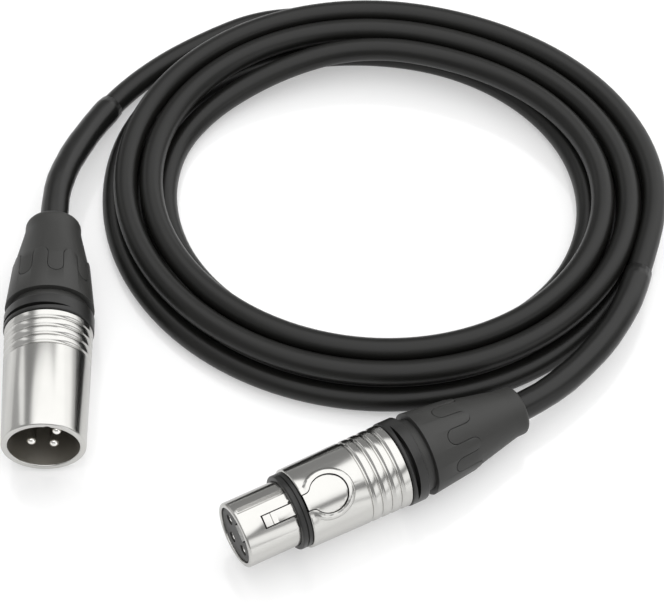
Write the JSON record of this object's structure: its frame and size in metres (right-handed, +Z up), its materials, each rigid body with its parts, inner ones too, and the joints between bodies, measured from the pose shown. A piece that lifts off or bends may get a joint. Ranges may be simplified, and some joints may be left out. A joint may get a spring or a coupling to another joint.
{
  "type": "microphone cable",
  "caption": "Coiled black microphone cable with a latching three-pole socket connector on one end and a matching pin connector on the other.",
  "frame": {"origin": "on the table, under the middle of the box round the two connectors", "axes": "+Z up from the table, +X across the front of the coil from the pin connector towards the socket connector, +Y away from the viewer"},
  "size_m": [0.1645, 0.177, 0.022],
  "materials": {
    "shell": "satin bright nickel plating",
    "black_plastic": "satin black plastic",
    "boot": "satin charcoal plastic",
    "soft_boot": "matte charcoal elastomer",
    "insert": "matte dark grey plastic",
    "pin": "bright silver plating",
    "spring": "spring steel",
    "cable": "matte black cable jacket",
    "sleeve": "satin black shrink sleeve",
    "core": "coloured core insulation"
  },
  "bodies": {
    "cable": {"coil": "cable", "female_cable_end": "cable", "female_chuck": "black_plastic", "female_collar": "black_plastic", "female_contact_1": "pin", "female_contact_2": "pin", "female_contact_3": "pin", "female_cores": "core", "female_insert": "insert", "female_latch_pin": "pin", "female_latch_spring": "spring", "female_lead": "cable", "female_nose": "shell", "female_shell": "shell", "female_sleeve": "sleeve", "male_cable_end": "cable", "male_chuck": "black_plastic", "male_cores": "core", "male_insert": "insert", "male_lead": "cable", "male_pin_1": "pin", "male_pin_2": "pin", "male_pin_3": "pin", "male_shell": "shell", "male_sleeve": "sleeve"},
    "latch": {"female_latch": "shell"},
    "socket_ring": {"female_boot_ring": "black_plastic"},
    "socket_boot": {"female_boot": "boot", "female_boot_relief": "soft_boot"},
    "plug_ring": {"male_boot_ring": "black_plastic"},
    "plug_boot": {"male_boot": "boot", "male_boot_relief": "soft_boot"}
  },
  "joints": [
    {"name": "latch_press", "type": "hinge", "parent": "cable", "child": "latch", "pos_m": [0.02254, -0.03042, 0.01722], "axis": [0.413, -0.7854, -0.4611], "range_deg": [0, 3.5], "stiffness_Nm_per_rad": 0.05, "springref_deg": -5.73, "deforming": ["female_latch_spring"]},
    {"name": "socket_ring_slide", "type": "slide", "parent": "cable", "child": "socket_ring", "axis": [0.8709, 0.4887, -0.0523], "range_m": [0, 0.003]},
    {"name": "socket_boot_unscrew", "type": "hinge", "parent": "socket_ring", "child": "socket_boot", "pos_m": [0.03947, -0.01735, 0.01012], "axis": [0.8709, 0.4887, -0.0523], "range_deg": [0, 720.5]},
    {"name": "plug_ring_slide", "type": "slide", "parent": "cable", "child": "plug_ring", "axis": [-0.0332, 0.9995, 0], "range_m": [0, 0.003]},
    {"name": "plug_boot_unscrew", "type": "hinge", "parent": "plug_ring", "child": "plug_boot", "pos_m": [-0.05224, 0.02527, 0.011], "axis": [-0.0332, 0.9995, 0], "range_deg": [0, 720.5]}
  ],
  "couplings": [
    {"joint": "socket_boot_unscrew", "follows": "socket_ring_slide", "rad_per_m": 4188.8},
    {"joint": "plug_boot_unscrew", "follows": "plug_ring_slide", "rad_per_m": 4188.8}
  ]
}
